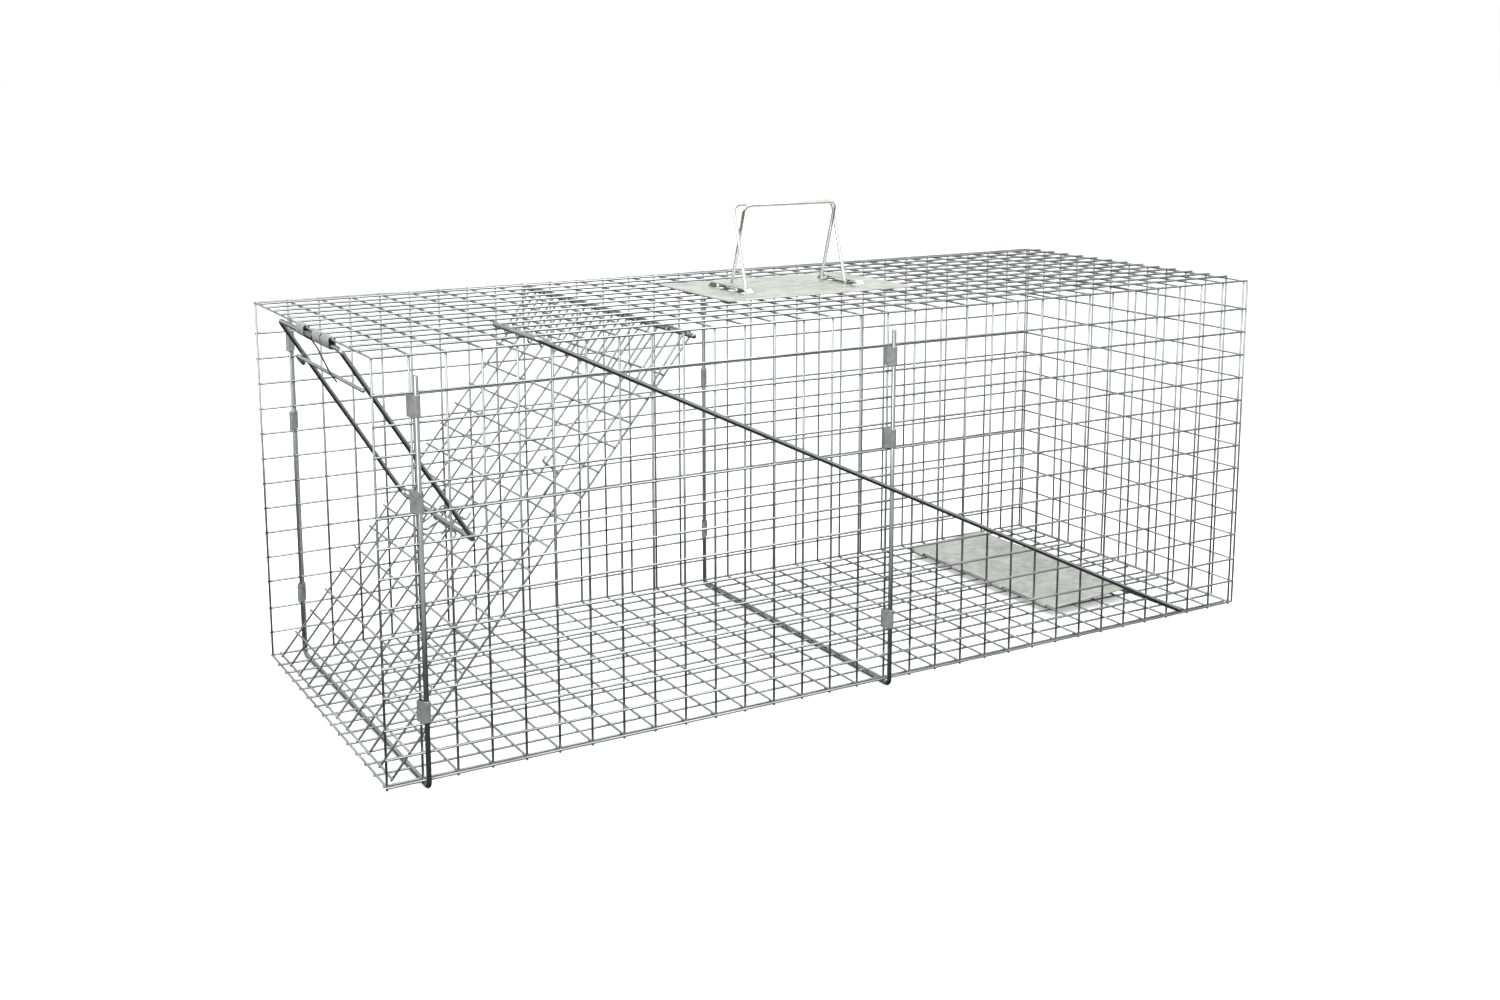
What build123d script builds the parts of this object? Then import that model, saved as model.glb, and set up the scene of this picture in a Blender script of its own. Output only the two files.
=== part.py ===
from build123d import *
import math
import os

# A wire-mesh live catch trap with one drop door. Millimetres, +Z up.
# +X runs from the door end to the rear, +Y from the trigger-rod side to the other side.
# The origin is on the ground, at the middle of the whole trap's outline.

# ---- driving dimensions -------------------------------------------------------------
length = 1070.0            # cage, first cross wire to last
width = 404.0              # cage, side to side
height = 402.0             # cage, floor to roof
wire_r = 1.2               # mesh wire
rod_r = 2.5                # stiffeners, hinge rod, lock frame and trigger rod
sheet = 1.2                # galvanised sheet of the plates and clips
contact = 0.02             # air between pieces that touch, so that each stays its own solid
running = 0.3              # air between pieces that move past each other

# ---- mesh spacing -------------------------------------------------------------------
length_cells = 31
roof_cells = 14
rear_cells = 12
row_gaps = [28, 28, 31] + [28] * 10 + [35]        # side rows, floor upwards, sum = height
cross_pitch = length / length_cells
roof_pitch = width / roof_cells
rear_pitch = width / rear_cells
seam_inset = 9.6                                  # first floor wire, in from the near side

# ---- door and lock ------------------------------------------------------------------
hinge_x = 320.0                                   # door hinge, back from the front edge
hinge_drop = 7.3                                  # and down from the roof
door_foot = (4.0, 4.0)                            # free end at rest: back, up
door_pitch = 34.6
door_wires = 12
door_rows = 17
door_row_pitch = 28.3
door_row_width = 390.0
curl_r = rod_r + running + wire_r                 # wire centre in the loops round the hinge
door_open_deg = 49.0
lock_reach = 237.0                                # pivot to foot bar
lock_rest_deg = 58.0                              # below the horizontal
lock_near, lock_far = 94.0, 304.0                 # the two legs
lock_pivot_drop = 7.3
lock_joint = 210.0                                # where the rod's two ends meet, in a clip

# ---- treadle and trigger ------------------------------------------------------------
treadle_wire = 25                                 # floor cross wire that carries the plate
treadle_near, treadle_far = 84.0, 382.0
hem_x = 982.0                                     # rolled rear hem and the rod in it
hem_bore = rod_r + 0.1
hem_r = hem_bore + sheet
stub_x = 151.0                                    # where the trigger's stub lies on the roof
stub_end = 90.0
trigger_y = -10.0

# ---- handle -------------------------------------------------------------------------
handle_x, handle_y = 555.0, 208.0
plate_long, plate_wide = 246.0, 163.0
bail_r = 2.0
bail_rise = 92.0
bail_foot = 21.0                                  # pivots, either side of the middle line
bail_lean = 8.0                                   # grips, past the middle line
wide_half, narrow_half = 66.0, 60.5               # legs of the outer and the inner bail
foot_end = 80.0

# ---- outline, which places the origin -----------------------------------------------
leg_out = 2 * wire_r + rod_r + contact            # stiffener leg, out from the side
drop = 2 * wire_r + 2 * rod_r + contact           # floor plane above the ground
clip_r = rod_r + running + sheet
front_over = clip_r
rear_over = 5 * wire_r + 3 * contact
near_over = -trigger_y + rod_r
far_over = 22.5
front = -(length + rear_over - front_over) / 2
near = -(width + far_over - near_over) / 2

cross_xs = [i * cross_pitch for i in range(length_cells + 1)]
row_zs = [sum(row_gaps[:i]) for i in range(1, len(row_gaps))]
hinge_z = height - hinge_drop
pivot_z = height - lock_pivot_drop
wall_z = height / 2


def at(x, y, z):
    """A place given back from the front edge, across from the near side and up from the floor."""
    return (front + x, near + y, drop + z)


def turned(x, z, degrees):
    """Turns an (x, z) step about +Y by the right-hand rule."""
    a = math.radians(degrees)
    return (x * math.cos(a) + z * math.sin(a), -x * math.sin(a) + z * math.cos(a))


# ---- door frame of reference: s runs down the door from the hinge, n stands off it ----
door_deg = math.degrees(math.atan2(hinge_z - door_foot[1], hinge_x - door_foot[0]))
door_long = math.hypot(hinge_z - door_foot[1], hinge_x - door_foot[0])


def on_door(s, y, n):
    """A place on the closed door: s from the hinge, y across, n off its outer face."""
    dx, dz = turned(-s, n, -door_deg)
    return at(hinge_x + dx, y, hinge_z + dz)


def on_lock(r, y, n=0.0):
    """A place on the lock frame: r from its pivot, y across, n off its front side."""
    dx, dz = turned(r, -n, lock_rest_deg)
    return at(dx, y, pivot_z + dz)


def straight_wires(places, run, rotation, radius=wire_r):
    """Equal straight wires centred on the given places. Called inside a BuildPart."""
    with Locations(*places):
        Cylinder(radius, run, rotation=rotation)


ALONG_X, ALONG_Y, ALONG_Z = (0, 90, 0), (90, 0, 0), (0, 0, 0)


def bent_rod(points, bends, radius):
    """One round rod along straight runs joined by arcs. Called inside a BuildPart."""
    with BuildLine() as route:
        FilletPolyline(*points, radius=bends)
    with BuildSketch(Plane(origin=route.line @ 0, z_dir=route.line % 0)) as section:
        Circle(radius)
    sweep(section.sketch, path=route.line)


os.makedirs("parts", exist_ok=True)


# ---- the mesh cage ------------------------------------------------------------------
wire_ends = 1.5                                   # past the first cross wire, at the door end
run_x = length + wire_ends + wire_r
mid_x = (length + wire_r - wire_ends) / 2


def side_mesh(y_in, y_out, foot):
    """A side wall: uprights inside, lengthwise wires outside. The uprights start at height foot."""
    rows = [wire_r] + row_zs + [height - wire_r]
    top = height - 2 * wire_r - contact
    with BuildPart() as mesh:
        straight_wires([at(mid_x, y_out, z) for z in rows], run_x, ALONG_X)
        straight_wires([at(x, y_in, (foot + top) / 2) for x in cross_xs], top - foot, ALONG_Z)
    return mesh


near_side_mesh = side_mesh(wire_r + contact, -wire_r, -2 * wire_r)
near_side_mesh.part.label = "near_side_mesh"
export_step(near_side_mesh.part, "parts/near_side_mesh.step")

far_side_mesh = side_mesh(width - wire_r - contact, width + wire_r, 2 * wire_r + contact)
far_side_mesh.part.label = "far_side_mesh"
export_step(far_side_mesh.part, "parts/far_side_mesh.step")

with BuildPart() as roof_mesh:
    roof_ys = [i * roof_pitch for i in range(1, roof_cells)]
    cross_z = height - wire_r - contact
    straight_wires([at(mid_x, y, height + wire_r) for y in roof_ys], run_x, ALONG_X)
    straight_wires([at(x, width / 2, cross_z) for x in cross_xs], width - contact, ALONG_Y)
roof_mesh.part.label = "roof_mesh"
export_step(roof_mesh.part, "parts/roof_mesh.step")

with BuildPart() as floor_mesh:
    floor_pitch = (width - seam_inset) / roof_cells
    floor_ys = [seam_inset + i * floor_pitch for i in range(roof_cells)]
    first = 2 * wire_r + 2 * contact
    last = width - contact
    straight_wires([at(mid_x, y, -wire_r) for y in floor_ys], run_x, ALONG_X)
    straight_wires(
        [at(x, (first + last) / 2, wire_r + contact) for x in cross_xs], last - first, ALONG_Y
    )
floor_mesh.part.label = "floor_mesh"
export_step(floor_mesh.part, "parts/floor_mesh.step")

with BuildPart() as rear_panel:
    row_x = length + 2 * wire_r + 2 * contact
    upright_x = row_x + 2 * wire_r + contact
    rows = [wire_r] + row_zs + [height - wire_r]
    uprights = [i * rear_pitch for i in range(rear_cells + 1)]
    straight_wires([at(row_x, width / 2, z) for z in rows], width + 2.0, ALONG_Y)
    straight_wires([at(upright_x, y, wall_z) for y in uprights], height, ALONG_Z)
rear_panel.part.label = "rear_panel"
export_step(rear_panel.part, "parts/rear_panel.step")


# ---- the two bent rods that brace the cage and stand on the ground --------------------
stiffener_xs = [cross_xs[1] + 3.6, cross_xs[16] + 3.6]
stiffener_top = 383.0
stiffener_bend = 5.5


def stiffener_rod(x):
    """A U of rod: down one side, under the floor and up the other."""
    low = rod_r - drop
    corners = [
        at(x, -leg_out, stiffener_top),
        at(x, -leg_out, low),
        at(x, width + leg_out, low),
        at(x, width + leg_out, stiffener_top),
    ]
    with BuildPart() as rod:
        bent_rod(corners, stiffener_bend, rod_r)
    return rod


front_stiffener_rod = stiffener_rod(stiffener_xs[0])
front_stiffener_rod.part.label = "front_stiffener_rod"
export_step(front_stiffener_rod.part, "parts/front_stiffener_rod.step")

middle_stiffener_rod = stiffener_rod(stiffener_xs[1])
middle_stiffener_rod.part.label = "middle_stiffener_rod"
export_step(middle_stiffener_rod.part, "parts/middle_stiffener_rod.step")

clip_heights = [355.0, 267.0, 69.0]
clip_tall = 20.0
clip_wide = 15.0
with BuildPart() as stiffener_clips:
    inside = 2 * (wire_r + rod_r) + 2 * wire_r + 3 * contact   # across the upright and the rod
    middle_y = (2 * wire_r + contact - leg_out - rod_r) / 2
    spots = [
        (front + x - 1.0, near + y)
        for x in stiffener_xs
        for y in (middle_y, width - middle_y)
    ]
    for z in clip_heights:
        with BuildSketch(Plane.XY.offset(drop + z - clip_tall / 2)):
            with Locations(*spots):
                RectangleRounded(clip_wide, inside + 2 * sheet, 4.0)
                RectangleRounded(clip_wide - 2 * sheet, inside, 2.8, mode=Mode.SUBTRACT)
        extrude(amount=clip_tall)
stiffener_clips.part.label = "stiffener_clips"
export_step(stiffener_clips.part, "parts/stiffener_clips.step")


# ---- door: hinge rod, mesh, rolled wire ends, catch hook, stop loops ------------------
with BuildPart() as door_hinge_rod:
    near_end = -4.0
    elbow_y = width + far_over - rod_r
    turn_down = 14.0
    corners = [
        at(hinge_x, near_end, hinge_z),
        at(hinge_x, elbow_y, hinge_z),
        at(hinge_x, elbow_y, hinge_z - turn_down),
    ]
    bent_rod(corners, 6.0, rod_r)
door_hinge_rod.part.label = "door_hinge_rod"
export_step(door_hinge_rod.part, "parts/door_hinge_rod.step")

door_ys = [width / 2 + (i - (door_wires - 1) / 2) * door_pitch for i in range(door_wires)]
row_n = -curl_r + 2 * wire_r + contact
last_row = door_long - 3.0
row_ss = [last_row - k * door_row_pitch for k in range(door_rows)]
tilt_along = (0, 90 - door_deg, 0)                # a Z cylinder laid along the door

with BuildPart() as door_mesh:
    straight_wires([on_door(door_long / 2, y, -curl_r) for y in door_ys], door_long, tilt_along)
    straight_wires([on_door(s, width / 2, row_n) for s in row_ss], door_row_width, ALONG_Y)
door_mesh.part.label = "door_mesh"
export_step(door_mesh.part, "parts/door_mesh.step")

tail_end_s, tail_end_n = 55.0, 1.4


def door_loop(y):
    """A door wire's end, rolled round the hinge rod and laid back over the first cross wire."""
    lean = math.atan2(curl_r - tail_end_n, tail_end_s)    # the tail's slope, back to the door
    leave_at = on_door(curl_r * math.sin(lean), y, curl_r * math.cos(lean))
    with BuildLine() as route:
        roll = ThreePointArc(on_door(0, y, -curl_r), on_door(-curl_r, y, 0), leave_at)
        Line(leave_at, on_door(tail_end_s, y, tail_end_n))
    with BuildSketch(Plane(origin=roll @ 0, z_dir=roll % 0)) as section:
        Circle(wire_r)
    sweep(section.sketch, path=route.line)


with BuildPart() as door_hinge_loops:
    for y in door_ys:
        door_loop(y)
door_hinge_loops.part.label = "door_hinge_loops"
export_step(door_hinge_loops.part, "parts/door_hinge_loops.step")

# The hook is laid out on the open door, where it stands upright through the roof.
hook_wire = 1.25
hook_y = 2.5 * roof_pitch
set_shift = 5.3                                   # the stub's travel from rest to set
stub_gap = 0.4                                    # air between the hook and the stub, when set
hook_foot = 26.0                                  # the hook's run along the door
hook_x = stub_x - set_shift - rod_r - stub_gap - hook_wire


def when_open(x, y, z):
    """Where a point of the open door lies once the door is shut."""
    dx, dz = turned(x - hinge_x, z - hinge_z, -door_open_deg)
    return at(hinge_x + dx, y, hinge_z + dz)


stub_z = height + 2 * wire_r + rod_r + running
with BuildPart() as door_catch_hook:
    base_n = row_n + wire_r + contact + hook_wire
    droop = math.radians(door_deg - door_open_deg)
    base_z = hinge_z - (hinge_x - hook_x) * math.tan(droop) + base_n
    hook_top = stub_z + rod_r + stub_gap + hook_wire
    far_x = hook_x - hook_foot
    corners = [
        when_open(far_x, hook_y, hinge_z - (hinge_x - far_x) * math.tan(droop) + base_n),
        when_open(hook_x, hook_y, base_z),
        when_open(hook_x, hook_y, hook_top),
        when_open(stub_x - rod_r - stub_gap, hook_y, hook_top),
    ]
    bent_rod(corners, [3.0, 2.5], hook_wire)
door_catch_hook.part.label = "door_catch_hook"
export_step(door_catch_hook.part, "parts/door_catch_hook.step")

with BuildPart() as door_stop_loops:
    loop_top = 20.2                               # just short of the lock frame's foot bar
    loop_foot = row_n + wire_r + contact + wire_r
    loop_low, loop_high = 282.0, 266.0            # the two legs of a loop, down the door
    toe = 10.0                                    # the feet that lie on the door
    for y in (6.5 * roof_pitch, 7.5 * roof_pitch):
        corners = [
            on_door(loop_high - toe, y, loop_foot),
            on_door(loop_high, y, loop_foot),
            on_door(loop_high, y, loop_top),
            on_door(loop_low, y, loop_top),
            on_door(loop_low, y, loop_foot),
            on_door(loop_low + toe, y, loop_foot),
        ]
        bent_rod(corners, 3.0, wire_r)
door_stop_loops.part.label = "door_stop_loops"
export_step(door_stop_loops.part, "parts/door_stop_loops.step")


# ---- lock frame that props the shut door ---------------------------------------------
with BuildPart() as lock_frame:
    half_gap = 1.0                                # between the rod's two ends
    corners = [
        on_lock(0, lock_joint - half_gap),
        on_lock(0, lock_near),
        on_lock(lock_reach, lock_near),
        on_lock(lock_reach, lock_far),
        on_lock(0, lock_far),
        on_lock(0, lock_joint + half_gap),
    ]
    bent_rod(corners, [6.0, 7.0, 7.0, 6.0], rod_r)
lock_frame.part.label = "lock_frame"
export_step(lock_frame.part, "parts/lock_frame.step")

brace_r = 2.0
brace_s = 45.0
brace_n = rod_r + brace_r + contact
with BuildPart() as lock_brace:
    eye_r = 5.0                                   # the brace's far end is rolled into an eye
    eye_wire = 1.9
    brace_near, brace_far = lock_near - 3.0, lock_far + 11.0
    brace_mid = on_lock(brace_s, (brace_near + brace_far) / 2, brace_n)
    straight_wires([brace_mid], brace_far - brace_near, ALONG_Y, brace_r)
    eye_at = on_lock(brace_s + eye_r, brace_far, brace_n)
    with Locations(Location(eye_at, (0, lock_rest_deg, 0))):
        Torus(eye_r, eye_wire)
lock_brace.part.label = "lock_brace"
export_step(lock_brace.part, "parts/lock_brace.step")

# A torsion spring presses the frame back on to the door. Its turns are one sleeve here.
with BuildPart() as lock_spring:
    coil_bore = rod_r + 0.1
    coil_r = rod_r + 1.7
    coil_run = 22.0
    coil_y = 6.5 * roof_pitch
    arm_wire = 0.7
    arm_n = (coil_bore + coil_r) / 2
    arm_y = coil_y - coil_run / 2 + 2 * arm_wire
    over = brace_n + brace_r + arm_wire + contact
    arm_bend, arm_rise, arm_past = 5.0, 8.0, 5.0  # off the sleeve, before and past the brace
    with Locations(on_lock(0, coil_y)):
        Cylinder(coil_r, coil_run, rotation=ALONG_Y)
        Cylinder(coil_bore, coil_run, rotation=ALONG_Y, mode=Mode.SUBTRACT)
    corners = [
        on_lock(0, arm_y, arm_n),
        on_lock(coil_r + arm_bend, arm_y, arm_n),
        on_lock(brace_s - arm_rise, arm_y, over),
        on_lock(brace_s + arm_past, arm_y, over),
    ]
    bent_rod(corners, 2.0, arm_wire)
lock_spring.part.label = "lock_spring"
export_step(lock_spring.part, "parts/lock_spring.step")

with BuildPart() as lock_pull_loop:
    pull_r = 1.25
    pull_near, pull_far = 188.0, 210.0
    foot_n = rod_r + contact
    loop_n = foot_n + 17.0
    corners = [
        on_lock(lock_reach, pull_near, foot_n),
        on_lock(lock_reach, pull_near, loop_n),
        on_lock(lock_reach, pull_far, loop_n),
        on_lock(lock_reach, pull_far, foot_n),
    ]
    bent_rod(corners, 6.0, pull_r)
lock_pull_loop.part.label = "lock_pull_loop"
export_step(lock_pull_loop.part, "parts/lock_pull_loop.step")

with BuildPart() as lock_hinge_clips:
    clip_run = 24.0
    bore_r = rod_r + running
    for cell in (4, 5, 7):
        y = (cell + 0.5) * roof_pitch
        start = Plane(origin=at(0, y + clip_run / 2, 0), x_dir=(1, 0, 0), z_dir=(0, -1, 0))
        with BuildSketch(start):
            with Locations((0, pivot_z)):
                Circle(clip_r)
            with Locations((0, (pivot_z + height + sheet) / 2)):
                Rectangle(2 * clip_r, height + sheet - pivot_z)
            with Locations((0, pivot_z)):
                Circle(bore_r, mode=Mode.SUBTRACT)
            with Locations((0, (pivot_z + height + contact) / 2)):
                Rectangle(2 * bore_r, height + contact - pivot_z, mode=Mode.SUBTRACT)
        extrude(amount=clip_run)
lock_hinge_clips.part.label = "lock_hinge_clips"
export_step(lock_hinge_clips.part, "parts/lock_hinge_clips.step")


# ---- treadle plate on the floor and the trigger rod it pulls --------------------------
pin_x = cross_xs[treadle_wire]
pin_z = wire_r + contact
hem_z = 2 * wire_r + hem_r + running
tab_bore = wire_r + running
tab_r = tab_bore + sheet
treadle_mid = (treadle_near + treadle_far) / 2
treadle_run = treadle_far - treadle_near
with BuildPart() as treadle_plate:
    # the sheet runs from the top of the hinge tabs to the top of the rear hem
    side = Plane(origin=at(0, treadle_near, 0), x_dir=(1, 0, 0), z_dir=(0, -1, 0))
    rise = math.atan2(hem_z + hem_r - pin_z - tab_r, hem_x - pin_x)
    nx, nz = -math.sin(rise), math.cos(rise)
    front_top = (pin_x + tab_r * nx, pin_z + tab_r * nz)
    rear_top = (hem_x + hem_r * nx, hem_z + hem_r * nz)
    with BuildSketch(side):
        with BuildLine():
            Polyline(
                front_top,
                rear_top,
                (rear_top[0] - sheet * nx, rear_top[1] - sheet * nz),
                (front_top[0] - sheet * nx, front_top[1] - sheet * nz),
                close=True,
            )
        make_face()
    extrude(amount=-treadle_run)
    with BuildSketch(side):
        with Locations((hem_x, hem_z)):
            Circle(hem_r)
            Circle(hem_bore, mode=Mode.SUBTRACT)
    extrude(amount=-treadle_run)
    # short tabs are rolled round the cross wire, each between two lengthwise floor wires
    tab_run = 18.0
    for i in (3, 6, 9, 12):
        tab_near = floor_ys[i] + (floor_pitch - tab_run) / 2
        with BuildSketch(Plane(origin=at(0, tab_near, 0), x_dir=(1, 0, 0), z_dir=(0, -1, 0))):
            with Locations((pin_x, pin_z)):
                Circle(tab_r)
                Circle(tab_bore, mode=Mode.SUBTRACT)
        extrude(amount=-tab_run)
    with Locations(at(hem_x, treadle_mid, hem_z)):
        Cylinder(hem_bore, treadle_run + 2, rotation=ALONG_Y, mode=Mode.SUBTRACT)
    with Locations(at(pin_x, treadle_mid, pin_z)):
        Cylinder(tab_bore, treadle_run + 2, rotation=ALONG_Y, mode=Mode.SUBTRACT)
treadle_plate.part.label = "treadle_plate"
export_step(treadle_plate.part, "parts/treadle_plate.step")

with BuildPart() as trigger_rod:
    corners = [
        at(hem_x, treadle_far + 6, hem_z),
        at(hem_x, trigger_y, hem_z),
        at(stub_x, trigger_y, stub_z),
        at(stub_x, stub_end, stub_z),
    ]
    bent_rod(corners, 8.0, rod_r)
trigger_rod.part.label = "trigger_rod"
export_step(trigger_rod.part, "parts/trigger_rod.step")


# ---- handle: guard plate on the roof and two wire bails -------------------------------
plate_bottom = height + 2 * wire_r + contact
plate_top = plate_bottom + sheet
foot_air = 0.2                                    # round a bail's foot, under its rib
foot_z = plate_top + bail_r + foot_air
rib_off = 74.0                                    # ribs, either side of the plate's middle
rib_wide = 10.0
rib_half = 45.0                                   # half of a rib's run across the plate
rib_ramp = 8.0
rib_inside = 2 * (bail_r + foot_air)              # height under a rib
slot_half = rib_half - sheet
tab_wide = 12.0                                   # tabs bent under the roof's cross wires
tab_air = 0.4
tab_toe = 6.0
with BuildPart() as handle_plate:
    with BuildSketch(Plane.XY.offset(drop + plate_bottom)):
        with Locations(at(handle_x, handle_y, 0)[:2]):
            RectangleRounded(plate_long, plate_wide, 5.0)
        with Locations(*[at(handle_x + hand * rib_off, handle_y, 0)[:2] for hand in (-1, 1)]):
            Rectangle(rib_wide, 2 * slot_half, mode=Mode.SUBTRACT)
    extrude(amount=sheet)
    # two ribs, lanced and pressed up out of the plate, hold the bails' feet
    for hand in (-1, 1):
        rib_x = handle_x + hand * rib_off - rib_wide / 2
        face = Plane(origin=at(rib_x, 0, plate_top), x_dir=(0, 1, 0), z_dir=(1, 0, 0))
        with BuildSketch(face):
            with BuildLine():
                Polyline(
                    (handle_y - rib_half, -sheet),
                    (handle_y - rib_half, 0),
                    (handle_y - rib_half + rib_ramp, rib_inside + sheet),
                    (handle_y + rib_half - rib_ramp, rib_inside + sheet),
                    (handle_y + rib_half, 0),
                    (handle_y + rib_half, -sheet),
                    (handle_y + slot_half, -sheet),
                    (handle_y + slot_half, 0),
                    (handle_y + slot_half - rib_ramp, rib_inside),
                    (handle_y - slot_half + rib_ramp, rib_inside),
                    (handle_y - slot_half, 0),
                    (handle_y - slot_half, -sheet),
                    close=True,
                )
            make_face()
        extrude(amount=rib_wide)
    # four bent tabs hook the plate under the roof's cross wires
    toe_top = height - 2 * wire_r - tab_air
    leg_tall = plate_bottom - toe_top + sheet
    for wire, hand in ((13, 1), (19, -1)):
        leg_x = cross_xs[wire] + hand * (wire_r + 2 * tab_air + sheet / 2)
        toe_x = leg_x - hand * (tab_toe - sheet) / 2
        for cell in (5, 8):
            y = (cell + 0.5) * roof_pitch
            with Locations(at(leg_x, y, plate_bottom - leg_tall / 2)):
                Box(sheet, tab_wide, leg_tall)
            with Locations(at(toe_x, y, toe_top - sheet / 2)):
                Box(tab_toe, tab_wide, sheet)
handle_plate.part.label = "handle_plate"
export_step(handle_plate.part, "parts/handle_plate.step")


def bail(half, hand):
    """A wire bail: feet turned out under the ribs, legs leaning in past the middle."""
    foot_y = handle_y + hand * bail_foot
    grip_y = handle_y - hand * bail_lean
    corners = [
        at(handle_x - foot_end, foot_y, foot_z),
        at(handle_x - half, foot_y, foot_z),
        at(handle_x - half, grip_y, foot_z + bail_rise),
        at(handle_x + half, grip_y, foot_z + bail_rise),
        at(handle_x + half, foot_y, foot_z),
        at(handle_x + foot_end, foot_y, foot_z),
    ]
    with BuildPart() as wire:
        bent_rod(corners, [2.5, 8.0, 8.0, 2.5], bail_r)
    return wire


near_handle_bail = bail(wide_half, -1)
near_handle_bail.part.label = "near_handle_bail"
export_step(near_handle_bail.part, "parts/near_handle_bail.step")

far_handle_bail = bail(narrow_half, 1)
far_handle_bail.part.label = "far_handle_bail"
export_step(far_handle_bail.part, "parts/far_handle_bail.step")

print("door angle", round(door_deg, 3), "door length", round(door_long, 2))
print("front", round(front, 3), "near", round(near, 3), "floor", drop)
print("door hinge", at(hinge_x, width / 2, hinge_z), "lock pivot", at(0, width / 2, pivot_z))
print("treadle pin", at(pin_x, treadle_mid, pin_z), "hem", at(hem_x, treadle_mid, hem_z))
print("bail pivots", at(handle_x, handle_y - bail_foot, foot_z), at(handle_x, handle_y + bail_foot, foot_z))
print("grip height", drop + foot_z + bail_rise + bail_r)
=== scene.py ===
# %% [markdown]
# # A wire live catch trap, dressed in Blender
#
# The trap's frame, sizes and joints come packed from its CAD model. This lesson puts finished
# surfaces on it: round drawn wire with welds, bent zinc-plated rod, folded clips and spangled
# sheet. Everything is in metres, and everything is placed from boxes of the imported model.

import math

import bpy
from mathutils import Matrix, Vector


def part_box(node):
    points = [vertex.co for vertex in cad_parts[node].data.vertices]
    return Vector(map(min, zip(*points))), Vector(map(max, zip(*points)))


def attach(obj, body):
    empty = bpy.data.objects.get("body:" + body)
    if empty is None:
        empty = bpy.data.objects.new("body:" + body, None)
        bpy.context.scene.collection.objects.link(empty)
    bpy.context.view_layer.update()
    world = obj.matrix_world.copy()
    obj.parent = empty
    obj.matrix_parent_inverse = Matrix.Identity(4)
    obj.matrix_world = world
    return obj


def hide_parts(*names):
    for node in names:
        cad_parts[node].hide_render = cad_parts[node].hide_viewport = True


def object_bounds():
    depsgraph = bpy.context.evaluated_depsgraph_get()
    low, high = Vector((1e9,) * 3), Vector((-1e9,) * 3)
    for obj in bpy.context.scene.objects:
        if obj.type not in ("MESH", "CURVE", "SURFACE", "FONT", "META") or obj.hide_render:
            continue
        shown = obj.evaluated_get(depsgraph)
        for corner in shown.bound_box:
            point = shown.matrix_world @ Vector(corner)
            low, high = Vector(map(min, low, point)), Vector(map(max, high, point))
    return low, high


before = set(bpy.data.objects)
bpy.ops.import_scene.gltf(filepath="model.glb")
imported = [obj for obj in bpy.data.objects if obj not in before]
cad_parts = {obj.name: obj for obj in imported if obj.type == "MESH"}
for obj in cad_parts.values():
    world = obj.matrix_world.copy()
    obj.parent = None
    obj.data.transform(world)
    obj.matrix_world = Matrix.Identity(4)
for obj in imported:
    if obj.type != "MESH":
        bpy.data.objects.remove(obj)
cad_low, cad_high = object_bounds()
print("CAD size in metres:", [round(v, 3) for v in cad_high - cad_low])

# %% [markdown]
# ## A place to measure from
#
# A maker of cages measures back from the front edge, across from the near side and up from the
# floor wires. The near wall's box gives that corner: its wires stick out a little past it, so the
# corner is found by adding that back. After this, lengths are in millimetres and `at` turns them
# into metres in the shared frame.

# %% The cage's own corner
MM = 0.001
wire_r = 1.2
contact = 0.02
near_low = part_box("near_side_mesh")[0]
wire_ends = 1.5
corner = near_low + Vector((wire_ends, 2 * wire_r, 2 * wire_r)) * MM


def at(x, y, z):
    """A place x back, y across and z up from the cage's corner, in millimetres."""
    return corner + Vector((x, y, z)) * MM


length, width, height = 1070.0, 404.0, 402.0
print("corner of the cage:", [round(v, 4) for v in corner])

# %% [markdown]
# ## Colour and shader nodes
#
# Paint charts and screens give colours as sRGB hex values, and shaders want linear light, so one
# function converts them. One more function adds a shader node with its settings and its links.
# Every finish below is a short list of calls to these two.

# %% Colour and node helpers
def linear(hex_colour):
    """Linear red, green, blue and alpha from an sRGB hex value such as 'b8bab8'."""
    parts = [int(hex_colour[i : i + 2], 16) / 255 for i in (0, 2, 4)]
    bent = [c / 12.92 if c <= 0.04045 else ((c + 0.055) / 1.055) ** 2.4 for c in parts]
    return (*bent, 1.0)


def node(tree, kind, settings=None, inputs=None):
    """One node. Settings are its properties; inputs are numbers, colours or sockets to link."""
    made = tree.nodes.new(kind)
    for name, value in (settings or {}).items():
        setattr(made, name, value)
    for name, value in (inputs or {}).items():
        if isinstance(value, bpy.types.NodeSocket):
            tree.links.new(value, made.inputs[name])
        else:
            made.inputs[name].default_value = value
    return made


def empty_material(name):
    """A material with no nodes yet, and its node tree."""
    made = bpy.data.materials.new(name)
    made.use_nodes = True
    made.node_tree.nodes.clear()
    return made, made.node_tree


def per_metre(size_mm):
    """The Scale value at which a pattern's features are size_mm across."""
    return 1.0 / (size_mm * MM)


# %% [markdown]
# ## Hot-dip galvanised mesh wire
#
# The mesh is welded first and then dipped in molten zinc. That leaves a light grey skin, a little
# uneven, with duller patches some centimetres long and fine grain under a millimetre. The zinc is
# a metal, so it is fully metallic with the default IOR, and the roughness of about 0.4 spreads the
# studio's light into a soft line along each wire.

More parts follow.
